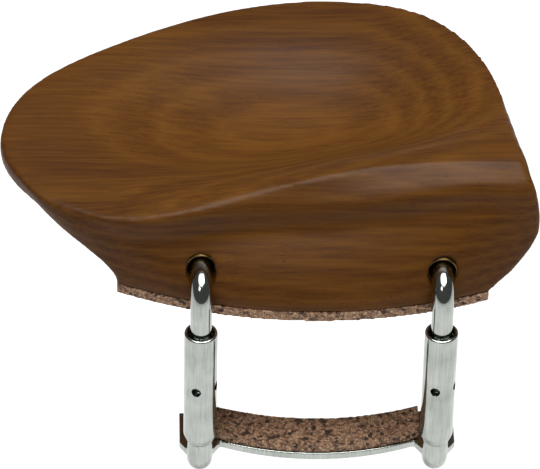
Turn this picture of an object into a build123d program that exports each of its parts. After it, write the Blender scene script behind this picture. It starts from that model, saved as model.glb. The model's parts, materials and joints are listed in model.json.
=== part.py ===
"""Side-mounted violin chin rest: carved plate, cork facings and a two-barrel screw clamp.

Frame: millimetres, +Z up. X runs along the edge of the violin, Y points from the player's side
towards the middle of the violin. The origin lies on the underside of the top cork, on the
violin's top, midway between the two hooks.
"""
from build123d import *
import math
import os

os.makedirs("parts", exist_ok=True)

# ---- clamp: hooks, barrels and lower bracket -------------------------------------------------
BARREL_SPACING = 43.0       # between the two barrel axes
BARREL_Y = -7.5             # barrel axes, in front of the violin's edge
BARREL_TOP_Z = -2.5         # mouth of each barrel, clamp closed
BARREL_RADIUS = 3.0
BARREL_MOUTH_RADIUS = 2.6   # countersunk mouth
BARREL_MOUTH_DEPTH = 0.9
BARREL_TIP_RADIUS = 2.5     # the lower end is rolled in over the swivel head
BARREL_TIP_LENGTH = 1.4
KEY_HOLE_RADIUS = 0.9
KEY_HOLE_DROP = 12.0        # key holes below the mouth
KEY_HOLE_PHASE = -16.0      # degrees round the barrel, from the front
KEY_HOLE_COUNT = 4
KEY_SINK_RADIUS = 1.05      # countersink round each key hole
KEY_SINK_DEPTH = 0.15

ROD_RADIUS = 1.95           # hook rod, outside the thread
THREAD_CLEARANCE = 0.08     # rod in barrel
HOOK_BEND_RADIUS = 3.6
HOOK_Z = 7.2                # upper leg of the hook
HOOK_END_GAP = 8.4          # from the rod's threaded end to the barrel's lower end
HOOK_IN_WOOD = 11.0         # upper leg inside the bush
ROD_END_CHAMFER = 0.4

BUSH_WALL = 0.65
BUSH_CLEARANCE = 0.08       # hook in bush
BUSH_LENGTH = 12.0
BUSH_MOUTH_DEPTH = 0.8
BUSH_MOUTH_WALL = 0.2       # wall left at the flared mouth
BLIND_GAP = 0.6             # hole deeper than the bush
HOLE_OVERRUN = 6.0          # drill clear of the face

GAP_CLOSED = 29.0           # between the two corks, clamp closed
BARREL_SHORTFALL = 3.6      # barrels shorter than that gap
TOP_CORK_THICKNESS = 2.0
BOTTOM_CORK_THICKNESS = 1.8
BRACKET_THICKNESS = 1.5
BRACKET_FRONT_RADIUS = 47.0
BRACKET_FRONT_Y = -8.7      # middle of the bracket's front edge
BRACKET_BACK_RADIUS = 52.0
BRACKET_BACK_Y = -0.6       # middle of the bracket's back edge
CORK_INSET = 0.35           # cork inside the bracket's edge
CORK_END_INSET = 2.75       # cork ends short of the barrel axes
LUG_HALF_WIDTH = 3.7        # end of the bracket beside each barrel axis
LUG_BACK_Y = 2.6
LUG_FRONT_Y = -5.4
STUD_RADIUS = 2.3
STUD_BEND_RADIUS = 2.8
STUD_DROP = 2.6             # stud's level leg below the bracket's top face
SWIVEL_NECK_RADIUS = 1.6
SWIVEL_HEAD_RADIUS = 2.25
SWIVEL_HEAD_HEIGHT = 2.2
SWIVEL_CLEARANCE = 0.08     # neck and head in the barrel, all round
SWIVEL_LIP = 1.6            # rolled lip under the head
SHOULDER_GAP = 0.1          # barrel's lower end above the stud's shoulder

# ---- wood ------------------------------------------------------------------------------------
FOOT_ARC_RADIUS = 84.0      # follows the violin's edge
FOOT_ARC_X = -0.5
FOOT_FRONT_Y = -7.6         # middle of the foot's front edge
FOOT_LEFT = -36.5
FOOT_RIGHT = 30.1
FOOT_DEPTH = 16.5
APRON_LEFT_FLARE = 21.3
APRON_RIGHT_FLARE = 9.3
APRON_RIGHT_RISE = 11.0     # the right end swells out over this height
APRON_RIGHT_TUCK = 2.3      # and draws in again above it
APRON_LEAN_POWER = 1.7      # steep near the foot, leaning back towards the rim
APRON_LEDGE = 0.2           # the rim stands this far proud of the apron
APRON_DEPTH_GROWTH = 6.0
APRON_BACK_TAPER = 0.14     # the back of the apron is shorter than its front, at the top
APRON_SPREAD_HEIGHT = 16.5  # left flare, depth and taper are complete at this height over the cork
APRON_TUCK_IN = 0.5         # the face runs on this share of its lean inside the plate
APRON_TOP_Z = 24.6
APRON_SECTIONS = 12
APRON_POINTS = 9

PLATE_LEFT = -57.7
PLATE_RIGHT = 36.9
PLATE_BACK = 67.6
PLATE_BACK_POINTS = [       # plan of the leaf, from the left tip round the back to the right
    (PLATE_LEFT, 26.5), (-52.6, 41.0), (-37.8, 53.6), (-20.0, 63.0), (-1.0, PLATE_BACK),
    (14.5, 65.4), (26.0, 54.1), (32.7, 38.1), (35.3, 20.0), (36.3, 11.5), (PLATE_RIGHT, 7.0),
]
PLATE_FRONT_XS = [35.2, 31.0, 22.0, 0.0, -20.0, -34.0, -46.0, -55.0]
RIM_HEIGHT = 15.7           # rim at the left and back
RIM_RISE = 5.0              # further height of the rim at the right
RIM_RISE_START_X = 8.0
RIM_RISE_LENGTH = 30.0
RIM_THICKNESS = 3.2
FRONT_EDGE_Y = 1.0          # front edge of the plate at its low end
FRONT_EDGE_SLANT = 0.03     # it runs back a little towards the right
FRONT_EDGE_CURL = 0.0335    # and curls back to the tip at the left
FRONT_EDGE_TURN_X = -34.0
CREST_RISE = 8.6            # crest above the low rim
CREST_START_X = -40.0       # where the crest starts to leave the rim
CREST_LENGTH = 70.0         # over this length it climbs to its full height
CREST_POWER = 1.3
CREST_FRONT_Y = 0.4         # crest line at its low end, where it runs out over the rim
CREST_SET_BACK = 7.4        # crest line at its high end, further back
CREST_LEAVE_X = -34.0       # where the crest line leaves the front edge
CREST_EASE = 46.0           # over this length it moves back to its full set-back
CREST_BLEND = 26.0          # from crest height back to rim height
SHOULDER_RISE = 6.4         # front edge at the high end, above the low rim
SHOULDER_START_X = -22.0
SHOULDER_LENGTH = 50.0
SHOULDER_MIN_GAP = 1.8      # least width of the band between crest and front edge
BAND_OVERRUN = 1.2          # its cutting surface runs on this far past both edges
SHOULDER_MIN_FALL = 0.15
LEDGE_RISE = 5.7            # top of the apron at the right, above its top at the left
LEDGE_LENGTH = 60.0
CUP_CENTRE = (-5.0, 33.0)
CUP_REACH = (43.0, 28.0)
CUP_DEPTH = 5.0
CUP_POWER = 2.0             # flat at its edge, round at the bottom
UNDER_DEPTH = 6.6           # belly of the underside below the rim
UNDER_POWER = 1.5
ROOT_Z = 9.0                # solid wood down to here under the crest, where the apron joins
ROOT_BACK_Y = 32.0          # how far back that root runs out
ROOT_FADE = 27.0            # and over what length it fades
SURFACE_STEPS = 40
SURFACE_MARGIN = 5.0        # the carving surfaces run on past the plate by this much
SURFACE_TOLERANCE = 0.05
SLAB_HEIGHT = 40.0          # blank that the plate is cut from

BARREL_XS = {"left": -BARREL_SPACING / 2, "right": BARREL_SPACING / 2}
BARREL_LENGTH = GAP_CLOSED - BARREL_SHORTFALL
HOOK_IN_BARREL = BARREL_LENGTH - HOOK_END_GAP
BARREL_BOTTOM_Z = BARREL_TOP_Z - BARREL_LENGTH
BRACKET_TOP_Z = -GAP_CLOSED - BOTTOM_CORK_THICKNESS
BORE_RADIUS = ROD_RADIUS + THREAD_CLEARANCE
BUSH_BORE = ROD_RADIUS + BUSH_CLEARANCE
BUSH_RADIUS = BUSH_BORE + BUSH_WALL


def smooth(t):
    """Ease from 0 to 1 with level ends."""
    t = min(max(t, 0.0), 1.0)
    return t * t * (3 - 2 * t)


def foot_face_y(x):
    """Front face of the foot at a place along the violin's edge."""
    across = x - FOOT_ARC_X
    return FOOT_FRONT_Y + FOOT_ARC_RADIUS - math.sqrt(FOOT_ARC_RADIUS**2 - across**2)


# ---- the carved plate as height formulas -----------------------------------------------------
def front_edge_y(x):
    """Plan of the plate's front edge."""
    curl = max(FRONT_EDGE_TURN_X - x, 0)
    return FRONT_EDGE_Y + FRONT_EDGE_SLANT * max(x - FRONT_EDGE_TURN_X, 0) + FRONT_EDGE_CURL * curl**2


def rim_height(x):
    return RIM_HEIGHT + RIM_RISE * smooth((x - RIM_RISE_START_X) / RIM_RISE_LENGTH)


def crest_height(x):
    climb = min(max((x - CREST_START_X) / CREST_LENGTH, 0.0), 1.0)
    return RIM_HEIGHT + CREST_RISE * math.sin(climb * math.pi / 2) ** CREST_POWER


def crest_line(x):
    return CREST_FRONT_Y + CREST_SET_BACK * smooth((x - CREST_LEAVE_X) / CREST_EASE)


def cup_share(x, y):
    """1 in the middle of the cup, falling to 0 on its edge and beyond."""
    share = 1 - ((x - CUP_CENTRE[0]) / CUP_REACH[0]) ** 2 - ((y - CUP_CENTRE[1]) / CUP_REACH[1]) ** 2
    return max(share, 0.0)


def cup_height(x, y):
    """Top of the plate behind the crest: from crest to rim, hollowed by the cup."""
    blend = smooth((y - crest_line(x)) / CREST_BLEND)
    rim = crest_height(x) + (rim_height(x) - crest_height(x)) * blend
    return rim - CUP_DEPTH * cup_share(x, y) ** CUP_POWER


def front_height(x, y):
    """Band that falls forward from the crest to the front edge."""
    shoulder = RIM_HEIGHT + SHOULDER_RISE * smooth((x - SHOULDER_START_X) / SHOULDER_LENGTH)
    gap = max(crest_line(x) - front_edge_y(x), SHOULDER_MIN_GAP)
    fall = SHOULDER_MIN_FALL + max(crest_height(x) - shoulder, 0) / gap
    behind = min(max(y - crest_line(x), -gap - BAND_OVERRUN), BAND_OVERRUN)
    return crest_height(x) + fall * behind


def under_height(x, y):
    """Underside of the plate: a shallow belly, deeper under the crest."""
    belly = rim_height(x) - RIM_THICKNESS - UNDER_DEPTH * cup_share(x, y) ** UNDER_POWER
    root_share = smooth((x - CREST_LEAVE_X) / CREST_EASE) * smooth((ROOT_BACK_Y - y) / ROOT_FADE)
    return belly + (ROOT_Z - belly) * root_share


def ledge_height(x):
    """Where the apron meets the edge of the plate."""
    along = max((x - CREST_LEAVE_X) / LEDGE_LENGTH, 0.0)
    return RIM_HEIGHT - RIM_THICKNESS + LEDGE_RISE * along**2


def apron_y(x, z):
    """Front face: upright at the foot, leaning back to just behind the plate's edge."""
    rise = (z - TOP_CORK_THICKNESS) / (ledge_height(x) - TOP_CORK_THICKNESS)
    edge = front_edge_y(x) + APRON_LEDGE
    lean = rise**APRON_LEAN_POWER
    if rise > 1:
        lean = 1 + APRON_TUCK_IN * (1 - math.exp(-APRON_LEAN_POWER / APRON_TUCK_IN * (rise - 1)))
    return foot_face_y(x) + (edge - foot_face_y(x)) * lean


def below(height):
    """Everything under a height formula, as a solid that reaches well past the plate."""
    low_x, high_x = PLATE_LEFT - SURFACE_MARGIN, PLATE_RIGHT + SURFACE_MARGIN
    low_y, high_y = FOOT_FRONT_Y - SURFACE_MARGIN, PLATE_BACK + SURFACE_MARGIN
    step_x = (high_x - low_x) / SURFACE_STEPS
    step_y = (high_y - low_y) / SURFACE_STEPS
    rows = []
    for i in range(SURFACE_STEPS + 1):
        x = low_x + i * step_x
        ys = [low_y + j * step_y for j in range(SURFACE_STEPS + 1)]
        rows.append([Vector(x, y, height(x, y)) for y in ys])
    face = Face.make_surface_from_array_of_points(rows, tol=SURFACE_TOLERANCE)
    return Solid.extrude(face, Vector(0, 0, -2 * SLAB_HEIGHT))


def plate_outline():
    """Plan of the plate: a broad leaf, blunt at the right, nearly straight in front."""
    front = [(x, front_edge_y(x)) for x in PLATE_FRONT_XS]
    points = [Vector(x, y, 0) for x, y in PLATE_BACK_POINTS + front]
    return Face(Wire([Edge.make_spline(points, periodic=True)]))


def apron_section(z):
    """Level slice of the foot and its flared apron."""
    height = z - TOP_CORK_THICKNESS
    right_rise = min(height / APRON_RIGHT_RISE, 1.0)
    tuck = max(height - APRON_RIGHT_RISE, 0) / (APRON_TOP_Z - TOP_CORK_THICKNESS - APRON_RIGHT_RISE)
    share = min(height / APRON_SPREAD_HEIGHT, 1.0)
    left = FOOT_LEFT - APRON_LEFT_FLARE * smooth(share)
    right = FOOT_RIGHT + APRON_RIGHT_FLARE * (1 - (1 - right_rise) ** 2) - APRON_RIGHT_TUCK * tuck**2
    depth = FOOT_DEPTH + APRON_DEPTH_GROWTH * share
    narrow = 1 - APRON_BACK_TAPER * share
    xs = [left + (right - left) * k / (APRON_POINTS - 1) for k in range(APRON_POINTS)]
    front = [Vector(x, apron_y(x, z), z) for x in xs]
    back = [Vector(x * narrow, foot_face_y(x * narrow) + depth, z) for x in reversed(xs)]
    edges = [Edge.make_spline(front), Edge.make_line(front[-1], back[0])]
    edges += [Edge.make_spline(back), Edge.make_line(back[-1], front[0])]
    return Wire(edges)


def bush_mouth_y(x):
    """The bush ends where the leaning face is furthest back across it."""
    return apron_y(x, HOOK_Z + BUSH_RADIUS)


def hook_hole(x):
    """Blind hole in the foot for a bush."""
    start = bush_mouth_y(x) - HOLE_OVERRUN
    depth = HOLE_OVERRUN + BUSH_LENGTH + BLIND_GAP
    return Solid.make_cylinder(BUSH_RADIUS, depth, Plane((x, start, HOOK_Z), z_dir=(0, 1, 0)))


def make_chin_plate():
    rise = APRON_TOP_Z - TOP_CORK_THICKNESS
    levels = [TOP_CORK_THICKNESS + rise * k / (APRON_SECTIONS - 1) for k in range(APRON_SECTIONS)]
    apron = Solid.make_loft([apron_section(z) for z in levels])
    slab = Solid.extrude(plate_outline(), Vector(0, 0, SLAB_HEIGHT))
    block = (slab - below(under_height)) + apron
    wood = block & below(cup_height) & below(front_height)
    for x in BARREL_XS.values():
        wood = wood - hook_hole(x)
    return wood


# ---- corks and bushes ------------------------------------------------------------------------
def make_top_cork():
    face = Face(apron_section(TOP_CORK_THICKNESS))
    return Solid.extrude(face, Vector(0, 0, -TOP_CORK_THICKNESS))


def make_bush(x):
    """Plain sleeve with a flared mouth, let into the face of the foot."""
    plane = Plane((x, bush_mouth_y(x), HOOK_Z), z_dir=(0, 1, 0))
    sleeve = Solid.make_cylinder(BUSH_RADIUS, BUSH_LENGTH, plane)
    bore = Solid.make_cylinder(BUSH_BORE, BUSH_LENGTH, plane)
    flare = Solid.make_cone(BUSH_RADIUS - BUSH_MOUTH_WALL, BUSH_BORE, BUSH_MOUTH_DEPTH, plane)
    return sleeve - bore - flare


# ---- clamp parts -----------------------------------------------------------------------------
def make_hook(x):
    """Rod bent square: upper leg level into the foot, lower leg down into the barrel."""
    back_end = bush_mouth_y(x) + HOOK_IN_WOOD
    foot_end = BARREL_TOP_Z - HOOK_IN_BARREL
    bend_y = BARREL_Y + HOOK_BEND_RADIUS
    bend_z = HOOK_Z - HOOK_BEND_RADIUS
    elbow = math.sqrt(0.5) * HOOK_BEND_RADIUS
    upper = Edge.make_line((x, back_end, HOOK_Z), (x, bend_y, HOOK_Z))
    bend = Edge.make_three_point_arc(
        (x, bend_y, HOOK_Z), (x, bend_y - elbow, bend_z + elbow), (x, BARREL_Y, bend_z)
    )
    lower = Edge.make_line((x, BARREL_Y, bend_z), (x, BARREL_Y, foot_end))
    section = Plane((x, back_end, HOOK_Z), z_dir=(0, -1, 0)) * Circle(ROD_RADIUS)
    rod = sweep(section, path=Wire([upper, bend, lower]))
    ends = rod.edges().filter_by(GeomType.CIRCLE).sort_by(Axis.Z)
    tips = [ends[0], rod.edges().filter_by(GeomType.CIRCLE).sort_by(Axis.Y)[-1]]
    return chamfer(tips, ROD_END_CHAMFER)


def make_barrel(x):
    """Turned barrel: countersunk mouth, key holes across, lower end rolled over the swivel head."""
    up = Plane((x, BARREL_Y, BARREL_BOTTOM_Z))
    mouth = Plane((x, BARREL_Y, BARREL_TOP_Z), z_dir=(0, 0, -1))
    body = Solid.make_cone(BARREL_TIP_RADIUS, BARREL_RADIUS, BARREL_TIP_LENGTH, up)
    straight = up.offset(BARREL_TIP_LENGTH)
    body = body + Solid.make_cylinder(BARREL_RADIUS, BARREL_LENGTH - BARREL_TIP_LENGTH, straight)
    head_room = SWIVEL_HEAD_HEIGHT + 2 * SWIVEL_CLEARANCE
    body = body - Solid.make_cylinder(SWIVEL_NECK_RADIUS + SWIVEL_CLEARANCE, SWIVEL_LIP, up)
    chamber = up.offset(SWIVEL_LIP)
    body = body - Solid.make_cylinder(SWIVEL_HEAD_RADIUS + SWIVEL_CLEARANCE, head_room, chamber)
    bore_start = chamber.offset(head_room)
    body = body - Solid.make_cylinder(BORE_RADIUS, BARREL_LENGTH - SWIVEL_LIP - head_room, bore_start)
    body = body - Solid.make_cone(BARREL_MOUTH_RADIUS, BORE_RADIUS, BARREL_MOUTH_DEPTH, mouth)
    for k in range(KEY_HOLE_COUNT):
        angle = math.radians(KEY_HOLE_PHASE - 90 + k * 360 / KEY_HOLE_COUNT)
        outward = Vector(math.cos(angle), math.sin(angle), 0)
        centre = Vector(x, BARREL_Y, BARREL_TOP_Z - KEY_HOLE_DROP)
        hole = Plane(centre, z_dir=outward)
        body = body - Solid.make_cylinder(KEY_HOLE_RADIUS, BARREL_RADIUS, hole)
        rim = Plane(centre + outward * BARREL_RADIUS, z_dir=-outward)
        body = body - Solid.make_cone(KEY_SINK_RADIUS, KEY_HOLE_RADIUS, KEY_SINK_DEPTH, rim)
    return body


def crescent(inset, half_width):
    """Plan of the bracket between its lugs: two arcs, closed at the sides."""
    def arc_y(y_middle, radius, x):
        return y_middle + radius - math.sqrt(radius**2 - x**2)

    front_y = BRACKET_FRONT_Y + inset
    back_y = BRACKET_BACK_Y - inset
    front_end = arc_y(front_y, BRACKET_FRONT_RADIUS, half_width)
    back_end = arc_y(back_y, BRACKET_BACK_RADIUS, half_width)
    front = Edge.make_three_point_arc(
        (-half_width, front_end, 0), (0, front_y, 0), (half_width, front_end, 0)
    )
    back = Edge.make_three_point_arc(
        (half_width, back_end, 0), (0, back_y, 0), (-half_width, back_end, 0)
    )
    right = Edge.make_line((half_width, front_end, 0), (half_width, back_end, 0))
    left = Edge.make_line((-half_width, back_end, 0), (-half_width, front_end, 0))
    return Face(Wire([front, right, back, left]))


def lug(x):
    """Plan of a bracket end: as wide as the forging, narrowing to the stud."""
    corners = [
        (x - LUG_HALF_WIDTH, LUG_BACK_Y), (x - LUG_HALF_WIDTH, LUG_FRONT_Y),
        (x - STUD_RADIUS, BARREL_Y), (x + STUD_RADIUS, BARREL_Y),
        (x + LUG_HALF_WIDTH, LUG_FRONT_Y), (x + LUG_HALF_WIDTH, LUG_BACK_Y),
    ]
    return Face(Wire.make_polygon([Vector(a, b, 0) for a, b in corners]))


def make_stud(x):
    """Round leg that comes forward from the lug, turns up and ends in the swivel head."""
    level_z = BRACKET_TOP_Z - STUD_DROP - BRACKET_THICKNESS / 2
    shoulder_z = BARREL_BOTTOM_Z - SHOULDER_GAP
    bend_y = BARREL_Y + STUD_BEND_RADIUS
    elbow = math.sqrt(0.5) * STUD_BEND_RADIUS
    level = Edge.make_line((x, 0, level_z), (x, bend_y, level_z))
    bend = Edge.make_three_point_arc(
        (x, bend_y, level_z),
        (x, bend_y - elbow, level_z + STUD_BEND_RADIUS - elbow),
        (x, BARREL_Y, level_z + STUD_BEND_RADIUS),
    )
    rise = Edge.make_line((x, BARREL_Y, level_z + STUD_BEND_RADIUS), (x, BARREL_Y, shoulder_z))
    section = Plane((x, 0, level_z), z_dir=(0, -1, 0)) * Circle(STUD_RADIUS)
    leg = sweep(section, path=Wire([level, bend, rise]))
    neck_height = SHOULDER_GAP + SWIVEL_LIP + SWIVEL_CLEARANCE
    neck = Solid.make_cylinder(SWIVEL_NECK_RADIUS, neck_height, Plane((x, BARREL_Y, shoulder_z)))
    head_plane = Plane((x, BARREL_Y, shoulder_z + neck_height))
    head = Solid.make_cylinder(SWIVEL_HEAD_RADIUS, SWIVEL_HEAD_HEIGHT, head_plane)
    return leg + neck + head


def make_lower_bracket():
    plan = crescent(0, BARREL_SPACING / 2)
    for x in BARREL_XS.values():
        plan = plan + lug(x)
    plate = extrude(Plane((0, 0, BRACKET_TOP_Z - BRACKET_THICKNESS)) * plan, BRACKET_THICKNESS)
    for x in BARREL_XS.values():
        plate = plate + make_stud(x)
    return plate


def make_bottom_cork():
    half_length = BARREL_SPACING / 2 - CORK_END_INSET
    face = Plane((0, 0, BRACKET_TOP_Z)) * crescent(CORK_INSET, half_length)
    return extrude(face, BOTTOM_CORK_THICKNESS)


def write(name, shape):
    solids = shape.solids()
    if len(solids) != 1:
        raise ValueError(f"{name} is {len(solids)} solids")
    solid = solids[0]
    solid.label = name
    export_step(solid, f"parts/{name}.step")


write("chin_plate", make_chin_plate())
write("top_cork", make_top_cork())
write("lower_bracket", make_lower_bracket())
write("bottom_cork", make_bottom_cork())
for side, barrel_x in BARREL_XS.items():
    write(f"bush_{side}", make_bush(barrel_x))
    write(f"hook_{side}", make_hook(barrel_x))
    write(f"barrel_{side}", make_barrel(barrel_x))
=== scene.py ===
# %% [markdown]
# # A violin chin rest
# This lesson dresses a measured model of a side-mounted chin rest: a carved and varnished
# plate, cork facings, and a nickel-plated screw clamp that holds it to the violin's edge.
# The measured model comes first. It is the fixed frame, and every piece made here rides on
# one of its bodies, so that the clamp still opens and closes when the looks are done.

# %% Load the measured model
import bpy
import json
import math
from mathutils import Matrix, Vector, noise

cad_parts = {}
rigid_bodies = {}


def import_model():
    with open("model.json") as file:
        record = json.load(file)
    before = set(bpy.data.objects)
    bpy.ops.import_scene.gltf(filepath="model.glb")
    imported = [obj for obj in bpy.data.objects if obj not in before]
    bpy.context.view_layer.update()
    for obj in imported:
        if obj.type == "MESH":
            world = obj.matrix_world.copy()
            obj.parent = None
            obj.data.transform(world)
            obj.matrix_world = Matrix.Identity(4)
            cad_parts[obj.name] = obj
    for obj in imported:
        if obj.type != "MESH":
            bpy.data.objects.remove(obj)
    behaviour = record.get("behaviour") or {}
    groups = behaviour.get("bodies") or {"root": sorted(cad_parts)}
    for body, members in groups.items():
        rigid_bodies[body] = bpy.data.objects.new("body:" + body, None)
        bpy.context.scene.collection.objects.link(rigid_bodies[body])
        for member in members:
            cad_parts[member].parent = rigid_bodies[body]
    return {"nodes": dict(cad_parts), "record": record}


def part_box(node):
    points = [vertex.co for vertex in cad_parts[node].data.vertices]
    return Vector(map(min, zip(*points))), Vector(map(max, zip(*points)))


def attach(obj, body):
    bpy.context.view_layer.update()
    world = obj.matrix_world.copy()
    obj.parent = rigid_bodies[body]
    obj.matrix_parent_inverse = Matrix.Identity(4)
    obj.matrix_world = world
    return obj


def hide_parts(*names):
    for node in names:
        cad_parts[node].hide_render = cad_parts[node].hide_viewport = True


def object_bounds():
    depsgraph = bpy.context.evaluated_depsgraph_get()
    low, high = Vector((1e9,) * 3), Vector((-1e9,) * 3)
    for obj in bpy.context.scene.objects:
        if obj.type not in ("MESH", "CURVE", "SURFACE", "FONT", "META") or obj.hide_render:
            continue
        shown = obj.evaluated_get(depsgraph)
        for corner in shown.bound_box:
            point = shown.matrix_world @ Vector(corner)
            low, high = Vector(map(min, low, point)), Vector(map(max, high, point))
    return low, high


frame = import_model()
cad_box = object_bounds()
MM = 0.001
MERGE = 0.001 * MM      # points closer than this become one
print("measured box, mm:", [[round(v / MM, 1) for v in corner] for corner in cad_box])

# %% [markdown]
# ## Small hand tools
# Blender's operators work on whatever is selected, and loading a model leaves all of it
# selected. So the first helper clears the selection and picks one object. The others copy a
# measured part into a mesh that can be edited, apply a modifier, and hand a finished piece
# to the body that it rides on.

# %% Selecting, copying and applying
def pick(piece):
    bpy.ops.object.select_all(action="DESELECT")
    piece.select_set(True)
    bpy.context.view_layer.objects.active = piece


def copy_of(node, name):
    """An editable copy of a measured part, with its loose triangles merged."""
    pick(frame["nodes"][node])
    bpy.ops.object.duplicate()
    piece = bpy.context.view_layer.objects.active
    piece.name = name
    bpy.ops.object.parent_clear(type="CLEAR_KEEP_TRANSFORM")
    bpy.ops.object.transform_apply(location=True, rotation=True, scale=True)
    piece.data.materials.clear()
    bpy.ops.object.mode_set(mode="EDIT")
    bpy.ops.mesh.select_all(action="SELECT")
    bpy.ops.mesh.remove_doubles(threshold=2 * MERGE)
    bpy.ops.object.mode_set(mode="OBJECT")
    return piece


def modify(piece, kind, **settings):
    """Add a modifier, set it and apply it."""
    pick(piece)
    modifier = piece.modifiers.new(kind.lower(), kind)
    for key, value in settings.items():
        setattr(modifier, key, value)
    bpy.ops.object.modifier_apply(modifier=modifier.name)


def settle(piece, body, finish, *nodes, smooth_angle=35):
    """Shade a finished piece, give it its material and hand it to its body."""
    bpy.ops.object.mode_set(mode="OBJECT")
    pick(piece)
    bpy.ops.object.shade_smooth_by_angle(angle=math.radians(smooth_angle))
    if not piece.data.materials:
        piece.data.materials.append(finish["material"])
    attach(piece, body)
    if nodes:
        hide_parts(*nodes)
    print(piece.name, "on", body, "faces", len(piece.data.polygons))


# %% [markdown]
# ## Writing shaders as sums
# A material's pattern is arithmetic on sockets. A small class wraps a socket, so that
# `1 - mask * 0.5` adds the Math nodes for it. One method makes every other node: it takes
# the node's type, its settings, and the values or links of its sockets.

# %% Signals and recipes
class Signal:
    def __init__(self, recipe, socket):
        self.recipe = recipe
        self.socket = socket

    def _math(self, operation, first, second=None):
        values = {0: first} if second is None else {0: first, 1: second}
        return self.recipe.node("ShaderNodeMath", {"operation": operation}, values)

    def __add__(self, other):
        return self._math("ADD", self, other)

    def __radd__(self, other):
        return self._math("ADD", other, self)

    def __sub__(self, other):
        return self._math("SUBTRACT", self, other)

    def __rsub__(self, other):
        return self._math("SUBTRACT", other, self)

    def __mul__(self, other):
        return self._math("MULTIPLY", self, other)

    def __rmul__(self, other):
        return self._math("MULTIPLY", other, self)

    def __truediv__(self, other):
        return self._math("DIVIDE", self, other)

    def does(self, operation):
        """A Math node that takes this signal alone."""
        return self._math(operation, self)


class Recipe:
    """One material: its node tree and its Principled shader."""

    def __init__(self, name, slot):
        self.material = bpy.data.materials.new(name)
        self.material.use_nodes = True
        self.slot = slot
        self.tree = self.material.node_tree
        self.shader = self.tree.nodes["Principled BSDF"]
        self.place = self.node("ShaderNodeTexCoord", {}, {}, "Object")

    def node(self, kind, settings, values, output=0):
        made = self.tree.nodes.new(kind)
        for key, value in settings.items():
            if key == "stops":
                self._stops(made.color_ramp, value)
            else:
                setattr(made, key, value)
        for key, value in values.items():
            self._feed(made.inputs[key], value)
        return Signal(self, made.outputs[output])

    def _stops(self, ramp, stops):
        while len(ramp.elements) < len(stops):
            ramp.elements.new(0.5)
        for element, (position, colour) in zip(ramp.elements, stops):
            element.position = position
            element.color = (*colour, 1)

    def _feed(self, socket, value):
        if isinstance(value, Signal):
            self.tree.links.new(value.socket, socket)
        else:
            socket.default_value = value

    def stretched(self, scale):
        return self.node("ShaderNodeMapping", {}, {"Vector": self.place, "Scale": scale})

    def ramp(self, signal, stops):
        return self.node("ShaderNodeValToRGB", {"stops": stops}, {0: signal})

    def grey(self, signal, low, high, floor=0.0, ceiling=1.0):
        """Stretch a signal's range from low..high to floor..ceiling, clamped."""
        values = {"Value": signal, "From Min": low, "From Max": high,
                  "To Min": floor, "To Max": ceiling}
        return self.node("ShaderNodeMapRange", {"clamp": True}, values)

    def mix(self, share, first, second):
        """Mix two colours. The node's colour inputs are numbers 6 and 7, its output 2."""
        settings = {"data_type": "RGBA"}
        return self.node("ShaderNodeMix", settings, {0: share, 6: first, 7: second}, 2)

    def noise(self, vector, scale, detail=3.0, rough=0.5):
        values = {"Vector": vector, "Scale": scale, "Detail": detail, "Roughness": rough}
        return self.node("ShaderNodeTexNoise", {}, values)

    def bump(self, height, strength, distance, under=None):
        values = {"Height": height, "Strength": strength, "Distance": distance}
        if under is not None:
            values["Normal"] = under
        return self.node("ShaderNodeBump", {}, values)

    def set(self, **sockets):
        for key, value in sockets.items():
            self._feed(self.shader.inputs[key.replace("_", " ")], value)

    def finish(self):
        return {"material": self.material, "slot": self.slot}


# %% [markdown]
# ## Varnished hardwood
# The plate is cut from flat-sawn wood, so its growth layers lie nearly level and the cup
# slices them into long ovals. That is why the layers here are worked out from height, with
# a slow warp, and not painted as rings. Fibres and pores run along X, and a thin satin
# varnish lies over everything.

# %% The wood
LAYER_THICKNESS = 2.1 * MM
OVAL_X, OVAL_Y = -3 * MM, 34 * MM       # where each layer is highest
BOW_ALONG, BOW_ACROSS = 0.5, 3.2        # how fast it falls away from there
LATE_WOOD = (0.21, 0.088, 0.013, 1)
PORE_BROWN = (0.022, 0.008, 0.004, 1)


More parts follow.
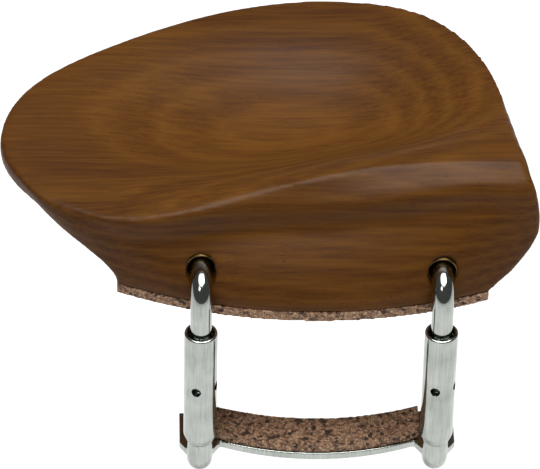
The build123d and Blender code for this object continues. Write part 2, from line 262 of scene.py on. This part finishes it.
def varnished_wood():
    wood = Recipe("varnished_wood", "varnished_wood")
    split = wood.node("ShaderNodeSeparateXYZ", {}, {0: wood.place})
    along, across, height = (Signal(wood, socket) for socket in split.socket.node.outputs)
    slow = wood.noise(wood.stretched((9, 22, 30)), 1.0, 2.0)
    quick = wood.noise(wood.stretched((50, 240, 240)), 1.0, 3.0)
    off_x, off_y = along - OVAL_X, across - OVAL_Y
    bow = off_y * off_y * BOW_ACROSS + off_x * off_x * BOW_ALONG
    layers = (height + bow) / LAYER_THICKNESS + slow * 1.6 + quick * 0.6
    step = layers.does("FRACT")
    late = wood.grey(step, 0.3, 0.75) * (1 - wood.grey(step, 0.75, 1.0))
    streaks = wood.noise(wood.stretched((60, 1400, 1400)), 1.0, 5.0, 0.7)
    clouds = wood.noise(wood.stretched((14, 46, 46)), 1.0, 3.0, 0.55)
    tone = streaks * 0.6 + clouds * 0.4
    base = wood.ramp(tone, [
        (0.32, (0.036, 0.0122, 0.0036)), (0.44, (0.065, 0.0228, 0.0042)),
        (0.56, (0.092, 0.0338, 0.0052)), (0.70, (0.120, 0.0455, 0.0064)),
    ])
    pores = wood.node("ShaderNodeTexVoronoi", {"feature": "F1"},
                      {"Vector": wood.stretched((420, 3000, 3000)), "Scale": 1.0})
    patches = wood.grey(wood.noise(wood.place, 130.0), 0.42, 0.6)
    pore = (1 - wood.grey(pores, 0.08, 0.24)) * patches
    colour = wood.mix(late * 0.17, base, LATE_WOOD)
    colour = wood.mix(pore * 0.8, colour, PORE_BROWN)
    smudge = wood.noise(wood.place, 55.0, 4.0, 0.6)
    grain = wood.bump(streaks, 0.12, 0.04 * MM)
    wood.set(Base_Color=colour, Roughness=wood.grey(smudge, 0.3, 0.7, 0.42, 0.54),
             Normal=wood.bump(1 - pore, 0.35, 0.05 * MM, grain))
    wood.set(Coat_Weight=wood.grey(smudge, 0.3, 0.7, 0.09, 0.04))
    wood.shader.inputs["Specular IOR Level"].default_value = 0.09
    wood.shader.inputs["Coat Roughness"].default_value = 0.16
    wood.shader.inputs["Coat IOR"].default_value = 1.45
    return wood.finish()


WOOD = varnished_wood()


# %% [markdown]
# ## Granulated cork
# Pressed cork is crumbs of bark: each crumb has its own brown, with dark bark flecks and
# small gaps between. Voronoi cells give the crumbs, and their distance to the cell's edge
# gives the gaps.

# %% The cork
CRUMB_SCALE, FLECK_SCALE = 2100.0, 1450.0
FLECK_BROWN = (0.020, 0.010, 0.007, 1)
GAP_BROWN = (0.045, 0.022, 0.014, 1)


def granulated_cork():
    cork = Recipe("granulated_cork", "cork")
    warp = cork.node("ShaderNodeTexNoise", {}, {"Vector": cork.place, "Scale": 900.0}, "Color")
    bent = cork.node("ShaderNodeVectorMath", {"operation": "MULTIPLY_ADD"},
                     {0: warp, 1: (0.0006,) * 3, 2: cork.place})
    crumbs = cork.node("ShaderNodeTexVoronoi", {"feature": "F1"},
                       {"Vector": bent, "Scale": CRUMB_SCALE}, "Color")
    crumb = cork.node("ShaderNodeSeparateColor", {}, {0: crumbs}, 0)
    gaps = cork.node("ShaderNodeTexVoronoi", {"feature": "DISTANCE_TO_EDGE"},
                     {"Vector": bent, "Scale": CRUMB_SCALE})
    gap = 1 - cork.grey(gaps, 0.02, 0.16)
    fine = cork.noise(cork.place, 5200.0, 4.0, 0.6)
    base = cork.ramp(crumb * 0.8 + fine * 0.25, [
        (0.08, (0.080, 0.038, 0.022)), (0.24, (0.230, 0.124, 0.070)),
        (0.50, (0.390, 0.225, 0.130)), (0.95, (0.62, 0.40, 0.245)),
    ])
    flecks = cork.node("ShaderNodeTexVoronoi", {"feature": "F1"},
                       {"Vector": bent, "Scale": FLECK_SCALE}, "Color")
    fleck = cork.grey(cork.node("ShaderNodeSeparateColor", {}, {0: flecks}, 1), 0.84, 0.88)
    colour = cork.mix(fleck * 0.88, base, FLECK_BROWN)
    colour = cork.mix(gap * 0.6, colour, GAP_BROWN)
    height = 1 - gap * 0.8 - fleck * 0.3 + fine * 0.3
    cork.set(Base_Color=colour, Roughness=cork.grey(fine, 0.3, 0.7, 0.78, 0.95),
             Normal=cork.bump(height, 0.7, 0.12 * MM))
    return cork.finish()


CORK = granulated_cork()


# %% [markdown]
# ## Nickel plate and brass
# The clamp is polished steel under nickel: a grey mirror, never quite clean. Fine
# polishing lines and a film of handling vary its roughness and darken its colour. The film
# is real wear, and the lines are painted reflection streaks. The threads are darker, and the
# bushes are turned brass, painted almost black as painted shade in the hook holes.

# %% The metals
def plated(name, slot, colour, stain_and_shade, rough, polish_and_streak_stretch):
    metal = Recipe(name, slot)
    film = metal.noise(metal.place, 210.0, 5.0, 0.6)
    polish_and_reflection_streaks = metal.noise(metal.stretched(polish_and_streak_stretch), 1.0, 3.0, 0.6)
    wear = metal.grey(film, 0.35, 0.72)
    # The film darkens the colour as real wear. The polish lines darken it in streaks, and these
    # are painted reflection streaks.
    wear_and_streak_shade = wear * 0.5 + metal.grey(polish_and_reflection_streaks, 0.35, 0.65) * 0.4
    metal.set(Base_Color=metal.mix(wear_and_streak_shade, colour, stain_and_shade),
              Roughness=metal.grey(film * 0.6 + polish_and_reflection_streaks * 0.4, 0.3, 0.7, rough[0], rough[1]),
              Normal=metal.bump(polish_and_reflection_streaks, 0.1, 0.01 * MM))
    metal.shader.inputs["Metallic"].default_value = 1.0
    return metal.finish()


# On nickel the streaks run up and down, as painted reflection streaks on the barrels.
NICKEL = plated("nickel_plate", "nickel_plate", (0.465, 0.49, 0.462, 1), (0.25, 0.27, 0.245, 1),
                (0.06, 0.15), (3200, 3200, 160))
# The threads are a darker, duller grey than the plate.
THREAD = plated("dark_thread", "nickel_plate", (0.25, 0.26, 0.245, 1), (0.09, 0.09, 0.085, 1),
                (0.25, 0.42), (900, 900, 5200))
# The brass is painted almost black, as painted shade in the hook holes where the bushes sit.
BRASS_PAINTED_DARK = plated("brass_in_painted_shade", "brass", (0.26, 0.17, 0.06, 1), (0.07, 0.045, 0.02, 1),
               (0.28, 0.5), (900, 5200, 900))


# %% [markdown]
# ## The carved plate
# The measured plate has the right form but the crisp edges of a drawing. A carver's plate
# has been scraped and sanded, so every edge is eased. It could be beveled edge by edge, but
# the edges here fade in and out of each other. A voxel remesh gives an even skin, and
# smoothing it wears each edge down the way sandpaper does. The wood round the two bushes and
# down by the cork keeps its crisp edge, because a vertex group holds it back. A second and
# longer pass rubs down the front face and the tall end of the plate, to flatten slight waves.

# %% Sand the plate
PLATE_VOXEL = 0.45 * MM
BUSH_GUARD, FOOT_GUARD = 1.0 * MM, 1.5 * MM     # how far the crisp edges reach
WEAR_PASSES, FACE_PASSES = 20, 90
FACE_START, FACE_FADE = -40 * MM, 34 * MM       # the front face: along the plate,
FACE_RISE, FACE_RISE_FADE = 6 * MM, 5 * MM      # above the foot,
FACE_DEPTH, FACE_DEPTH_FADE = 5.5 * MM, 2.5 * MM    # and how far back it goes
END_START, END_FADE = 30 * MM, 3 * MM           # the tall end, in the same order
END_RISE, END_RISE_FADE = 3 * MM, 4 * MM
END_DEPTH, END_DEPTH_FADE = 34 * MM, 6 * MM
END_SHARE = 0.6
foot_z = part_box("top_cork")[1][2]


def fade(distance, width):
    """Grow from 0 to 1 while a distance grows from 0 to a width."""
    return min(max(distance / width, 0.0), 1.0)


def middle_of(node):
    low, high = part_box(node)
    return Vector([(a + b) / 2 for a, b in zip(low, high)])


bush_middles = [middle_of("bush_left"), middle_of("bush_right")]
bush_low, bush_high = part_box("bush_left")
bush_radius = (bush_high[2] - bush_low[2]) / 2

plate = copy_of("chin_plate", "carved_plate")
modify(plate, "REMESH", mode="VOXEL", voxel_size=PLATE_VOXEL, use_smooth_shade=True)
worn = plate.vertex_groups.new(name="worn")
for vertex in plate.data.vertices:
    x, y, z = vertex.co
    away = min(math.hypot(x - middle.x, z - middle.z) for middle in bush_middles)
    keep = 0.0 if away < bush_radius + BUSH_GUARD else 1.0
    keep *= fade(z - foot_z, FOOT_GUARD)
    worn.add([vertex.index], keep, "REPLACE")
modify(plate, "SMOOTH", factor=0.5, iterations=WEAR_PASSES, vertex_group="worn")

face = plate.vertex_groups.new(name="face")
for vertex in plate.data.vertices:
    x, y, z = vertex.co
    front = fade(x - FACE_START, FACE_FADE)
    front *= fade(z - foot_z - FACE_RISE, FACE_RISE_FADE)
    front *= fade(FACE_DEPTH - y, FACE_DEPTH_FADE)
    end = fade(x - END_START, END_FADE) * fade(END_DEPTH - y, END_DEPTH_FADE)
    end *= fade(z - foot_z - END_RISE, END_RISE_FADE)
    face.add([vertex.index], max(front, end * END_SHARE), "REPLACE")
modify(plate, "SMOOTH", factor=0.5, iterations=FACE_PASSES, vertex_group="face")
print("plate faces", len(plate.data.polygons))
settle(plate, "plate", WOOD, "chin_plate", smooth_angle=60)

# %% [markdown]
# ## Cork sheets
# Cork cut with a knife keeps a slightly crumbly edge. The sheets are remeshed finely and
# each point is pushed by a small noise, so that the edges look torn and not ruled. Nothing
# here sets the seed of that noise, so the crumbs fall differently each time the lesson runs.

# %% Crumble the corks
CRUMBLE_SCALE, CRUMBLE_DEPTH = 1600, 0.07


def crumbled(node, name, body, voxel):
    piece = copy_of(node, name)
    modify(piece, "REMESH", mode="VOXEL", voxel_size=voxel, use_smooth_shade=True)
    modify(piece, "SMOOTH", factor=0.5, iterations=2)
    low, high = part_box(node)
    for vertex in piece.data.vertices:
        push = noise.noise_vector(vertex.co * CRUMBLE_SCALE) * CRUMBLE_DEPTH * MM
        vertex.co += push
        for axis in range(3):
            vertex.co[axis] = min(max(vertex.co[axis], low[axis]), high[axis])
    settle(piece, body, CORK, node, smooth_angle=60)


crumbled("top_cork", "top_cork_sheet", "plate", 0.28 * MM)
crumbled("bottom_cork", "bottom_cork_sheet", "bracket", 0.2 * MM)

# %% [markdown]
# ## A lathe and a screw cutter
# Barrels are turned and rods are threaded, and one tool does both. A chain of edges is drawn
# as radius and height beside an upright axis. The Screw modifier spins it round the axis. With
# no rise it makes a turned body, and with a rise of one pitch each turn it cuts a true thread.

# %% Draw a profile and spin it
def turned(name, axis, points, steps=96, pitch=0.0, turns=1):
    bpy.ops.object.select_all(action="DESELECT")
    bpy.ops.mesh.primitive_plane_add(size=MM, location=(axis.x, axis.y, 0))
    piece = bpy.context.object
    piece.name = name
    bpy.ops.object.mode_set(mode="EDIT")
    bpy.ops.mesh.select_all(action="SELECT")
    bpy.ops.mesh.merge(type="CENTER")
    bpy.ops.transform.translate(value=(points[0][0], 0, points[0][1]))
    for before, after in zip(points, points[1:]):
        stride = (after[0] - before[0], 0, after[1] - before[1])
        bpy.ops.mesh.extrude_vertices_move(TRANSFORM_OT_translate={"value": stride})
    bpy.ops.object.mode_set(mode="OBJECT")
    modify(piece, "SCREW", axis="Z", steps=steps, render_steps=steps, screw_offset=pitch,
           iterations=turns, use_merge_vertices=True, merge_threshold=MERGE)
    pick(piece)
    bpy.ops.object.transform_apply(location=True, rotation=True, scale=True)
    bpy.ops.object.mode_set(mode="EDIT")
    bpy.ops.mesh.select_all(action="SELECT")
    bpy.ops.mesh.remove_doubles(threshold=MERGE)
    bpy.ops.mesh.normals_make_consistent(inside=False)
    bpy.ops.object.mode_set(mode="OBJECT")
    return piece


def drill(piece, cutter):
    """Cut one piece with another and throw the cutter away."""
    modify(piece, "BOOLEAN", operation="DIFFERENCE", solver="EXACT", object=cutter)
    bpy.data.objects.remove(cutter)


# %% [markdown]
# ## Barrels
# Each barrel is one closed profile: up the outside with its small rounded edges, over the
# countersunk mouth, down the threaded bore, round the chamber that holds the swivel head, and
# back to the start. Two drills cross it for the key holes, and four short cones ease them.

# %% Turn and drill the barrels
PITCH = 0.7 * MM
ROD = 1.95 * MM
BORE = 2.03 * MM
LIP_BORE, LIP = 1.68 * MM, 1.6 * MM
CHAMBER_BORE, CHAMBER = 2.33 * MM, 2.36 * MM
KEY_HOLE, KEY_SINK, SINK_DEPTH = 0.9 * MM, 1.05 * MM, 0.15 * MM
EASE, CHAMFER = 0.3 * MM, 0.08 * MM
TIP, TIP_INNER = 2.5 * MM, 2.38 * MM                # radii at the lower end
TAPER, TAPER_HEIGHT = 2.92 * MM, 1.25 * MM
MOUTH, MOUTH_INNER = 2.55 * MM, 2.5 * MM            # radii at the upper end
SINK_FOOT, SINK = 2.12 * MM, 0.75 * MM
GROOVES, GROOVE_DEPTH, THREAD_START = 10, 0.24 * MM, 0.9 * MM

mounts = {mount["name"]: mount for mount in frame["record"]["mounts"]}
barrel_axis = {}
for side in ("left", "right"):
    low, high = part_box(f"barrel_{side}")
    radius, bottom, top = (high[0] - low[0]) / 2, low[2], high[2]
    axis = middle_of(f"barrel_{side}")
    barrel_axis[side] = axis
    profile = [(LIP_BORE, bottom), (TIP_INNER, bottom), (TIP, bottom + CHAMFER),
               (TAPER, bottom + TAPER_HEIGHT), (radius - 0.03 * MM, bottom + 1.45 * MM),
               (radius, bottom + 1.7 * MM), (radius, top - EASE)]
    for k in (30, 60, 90):
        bend = math.radians(k)
        profile.append((radius - EASE * (1 - math.cos(bend)), top - EASE * (1 - math.sin(bend))))
    profile += [(MOUTH, top), (MOUTH_INNER, top - CHAMFER), (SINK_FOOT, top - SINK)]
    depth = top - THREAD_START
    for k in range(GROOVES):
        profile += [(BORE, depth - k * PITCH), (BORE, depth - (k + 0.2) * PITCH),
                    (BORE + GROOVE_DEPTH, depth - (k + 0.55) * PITCH)]
    chamber_top = bottom + LIP + CHAMBER
    profile += [(BORE, depth - GROOVES * PITCH), (BORE, chamber_top), (CHAMBER_BORE, chamber_top),
                (CHAMBER_BORE, bottom + LIP), (LIP_BORE, bottom + LIP), (LIP_BORE, bottom)]
    barrel = turned(f"turned_barrel_{side}", axis, profile)
    outward = Vector(mounts[f"key_hole_{side}"]["axis"])
    hole_z = mounts[f"key_hole_{side}"]["pos_m"][2]
    middle = Vector((axis.x, axis.y, hole_z))
    sideways = Vector((-outward.y, outward.x, 0))
    for way in (outward, sideways):
        facing = way.to_track_quat("Z", "Y").to_euler()
        bpy.ops.mesh.primitive_cylinder_add(vertices=32, radius=KEY_HOLE, depth=3 * radius,
                                            location=middle, rotation=facing)
        drill(barrel, bpy.context.object)
    for way in (outward, sideways, -outward, -sideways):
        facing = way.to_track_quat("Z", "Y").to_euler()
        reach = radius - SINK_DEPTH / 2 + 0.06 * MM
        bpy.ops.mesh.primitive_cone_add(vertices=32, radius1=KEY_HOLE - 0.1 * MM,
                                        radius2=KEY_SINK + 0.1 * MM, depth=SINK_DEPTH + 0.2 * MM,
                                        location=middle + way * reach, rotation=facing)
        drill(barrel, bpy.context.object)
    settle(barrel, f"{side}_barrel", NICKEL, f"barrel_{side}", smooth_angle=32)

# %% [markdown]
# ## Hooks
# A hook starts as a disc at the end inside the foot. It is extruded level, spun a quarter
# turn round the centre of its bend, and extruded down. Below that comes the thread. It is a
# single tooth spun up the rod one pitch at a time, over a plain core. It stays an open
# ribbon, with its inner edges sunk in the core.

# %% Bend the rods and cut their threads
BEND_RADIUS = 3.6 * MM
THREAD_COVER = 0.5 * MM         # the thread starts this far inside the barrel
NECK = 0.35 * MM                # the rod narrows to the thread over this length
THREAD_DEPTH = 0.36 * MM
TOOTH_SINK, TOOTH_EASE = 0.05 * MM, 0.03 * MM


def join(first, *others):
    pick(first)
    for other in others:
        other.select_set(True)
    bpy.ops.object.join()
    return first


for side, axis in barrel_axis.items():
    low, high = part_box(f"hook_{side}")
    leg_z = high[2] - ROD
    bend_y, bend_z = axis.y + BEND_RADIUS, leg_z - BEND_RADIUS
    thread_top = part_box(f"barrel_{side}")[1][2] - THREAD_COVER
    bpy.ops.object.select_all(action="DESELECT")
    bpy.ops.mesh.primitive_circle_add(vertices=48, radius=ROD, fill_type="NGON",
                                      location=(axis.x, high[1], leg_z),
                                      rotation=(math.pi / 2, 0, 0))
    hook = bpy.context.object
    hook.name = f"threaded_hook_{side}"
    bpy.ops.object.transform_apply(location=True, rotation=True, scale=True)
    bpy.ops.object.mode_set(mode="EDIT")
    bpy.ops.mesh.select_all(action="SELECT")
    level = (0, bend_y - high[1], 0)
    bpy.ops.mesh.extrude_region_move(TRANSFORM_OT_translate={"value": level})
    bpy.ops.mesh.spin(steps=20, angle=-math.pi / 2, center=(axis.x, bend_y, bend_z),
                      axis=(1, 0, 0))
    drop = (0, 0, thread_top - bend_z)
    bpy.ops.mesh.extrude_region_move(TRANSFORM_OT_translate={"value": drop})
    bpy.ops.mesh.extrude_region_move(TRANSFORM_OT_translate={"value": (0, 0, -NECK)})
    bpy.ops.transform.resize(value=(0.8, 0.8, 1), center_override=(axis.x, axis.y, thread_top))
    bpy.ops.mesh.select_all(action="SELECT")
    bpy.ops.mesh.remove_doubles(threshold=MERGE)
    bpy.ops.mesh.normals_make_consistent(inside=False)
    bpy.ops.object.mode_set(mode="OBJECT")
    root = ROD - THREAD_DEPTH
    core = turned("core", axis, [
        (0, low[2]), (root - 0.3 * MM, low[2]), (root, low[2] + 0.3 * MM),
        (root, thread_top), (0, thread_top),
    ], steps=48)
    tooth = [(root - TOOTH_SINK, 0), (ROD - TOOTH_EASE, 0.27 * MM), (ROD, 0.33 * MM),
             (ROD - TOOTH_EASE, 0.39 * MM), (root - TOOTH_SINK, 0.66 * MM)]
    turns = int((thread_top - low[2] - 0.5 * MM) / PITCH)
    start = low[2] + 0.2 * MM
    thread = turned("thread", axis, [(r, start + z) for r, z in tooth], steps=48,
                    pitch=PITCH, turns=turns)
    hook.data.materials.append(NICKEL["material"])
    for rough_piece in (core, thread):
        rough_piece.data.materials.append(THREAD["material"])
    settle(join(hook, core, thread), "hooks", NICKEL, f"hook_{side}", smooth_angle=40)

# %% [markdown]
# ## Bracket and bushes
# The bracket is a forging, so its edges are soft. It gets the same remesh and smoothing as
# the plate, only finer. The bushes keep their measured shape with a small bevel.

# %% Soften the forging and bevel the bushes
BRACKET_VOXEL, BUSH_BEVEL = 0.16 * MM, 0.05 * MM
bracket = copy_of("lower_bracket", "forged_bracket")
modify(bracket, "REMESH", mode="VOXEL", voxel_size=BRACKET_VOXEL, use_smooth_shade=True)
modify(bracket, "SMOOTH", factor=0.5, iterations=6)
settle(bracket, "bracket", NICKEL, "lower_bracket", smooth_angle=60)

for side in ("left", "right"):
    bush = copy_of(f"bush_{side}", f"eased_bush_{side}")
    modify(bush, "BEVEL", width=BUSH_BEVEL, segments=2, limit_method="ANGLE",
           angle_limit=math.radians(35))
    settle(bush, "plate", BRASS_PAINTED_DARK, f"bush_{side}", smooth_angle=35)

# %% [markdown]
# ## The stage
# A pale floor lies well below the part. A soft skylight keeps all of it bright, a broad lamp
# above models the wood, and a small one in front puts glints on the metal. The camera looks
# down at the player's side of the chin rest, a little from the left, with a long lens.

# %% Floor, lights and camera
FLOOR_SIZE, FLOOR_DROP = 6.0, 0.09
SUN_STRENGTH, SUN_SPREAD, ROOM_STRENGTH = 2.1, 55, 0.1
low, high = cad_box
centre = Vector([(a + b) / 2 for a, b in zip(low, high)])
bpy.ops.object.select_all(action="DESELECT")
bpy.ops.mesh.primitive_plane_add(size=FLOOR_SIZE,
                                 location=(centre.x, centre.y, low[2] - FLOOR_DROP))
floor = bpy.context.object
floor.name = "floor"
floor_paint = Recipe("pale_floor", "floor")
floor_paint.set(Base_Color=(0.96, 0.96, 0.96, 1), Roughness=0.8)
floor.data.materials.append(floor_paint.material)


def soft_light(name, place, size, power):
    lamp = bpy.data.lights.new(name, "AREA")
    lamp.shape = "SQUARE"
    lamp.size = size
    lamp.energy = power
    holder = bpy.data.objects.new(name, lamp)
    bpy.context.collection.objects.link(holder)
    holder.location = centre + Vector(place)
    holder.rotation_euler = (centre - holder.location).to_track_quat("-Z", "Y").to_euler()


soft_light("overhead_light", (0.08, 0.02, 0.75), 0.55, 4.3)
soft_light("front_light", (-0.3, -0.5, 0.7), 0.16, 1.0)

sky = bpy.data.lights.new("skylight", "SUN")
sky.energy = SUN_STRENGTH
sky.angle = math.radians(SUN_SPREAD)
skylight = bpy.data.objects.new("skylight", sky)
bpy.context.collection.objects.link(skylight)

world = bpy.data.worlds.new("pale_room")
bpy.context.scene.world = world
world.use_nodes = True
room = world.node_tree.nodes["Background"]
room.inputs["Color"].default_value = (1, 1, 1, 1)
room.inputs["Strength"].default_value = ROOM_STRENGTH

AZIMUTH, ELEVATION, ROLL = math.radians(-2.2), math.radians(39.5), math.radians(1.35)
DISTANCE = 0.8288
LENS, SENSOR = 298.7, 36.0
between = (barrel_axis["left"] + barrel_axis["right"]) / 2
aim = between + Vector((-8.31, 33.5, 7.595)) * MM
backward = Vector((math.sin(AZIMUTH) * math.cos(ELEVATION),
                   -math.cos(AZIMUTH) * math.cos(ELEVATION), math.sin(ELEVATION)))
camera_data = bpy.data.cameras.new("camera")
camera_data.lens = LENS
camera_data.sensor_width = SENSOR
camera = bpy.data.objects.new("camera", camera_data)
bpy.context.collection.objects.link(camera)
camera.location = aim + backward * DISTANCE
camera.rotation_euler = backward.to_track_quat("Z", "Y").to_euler()
camera.rotation_euler.rotate_axis("Z", ROLL)
bpy.context.scene.camera = camera
bpy.context.scene.view_settings.view_transform = "Standard"
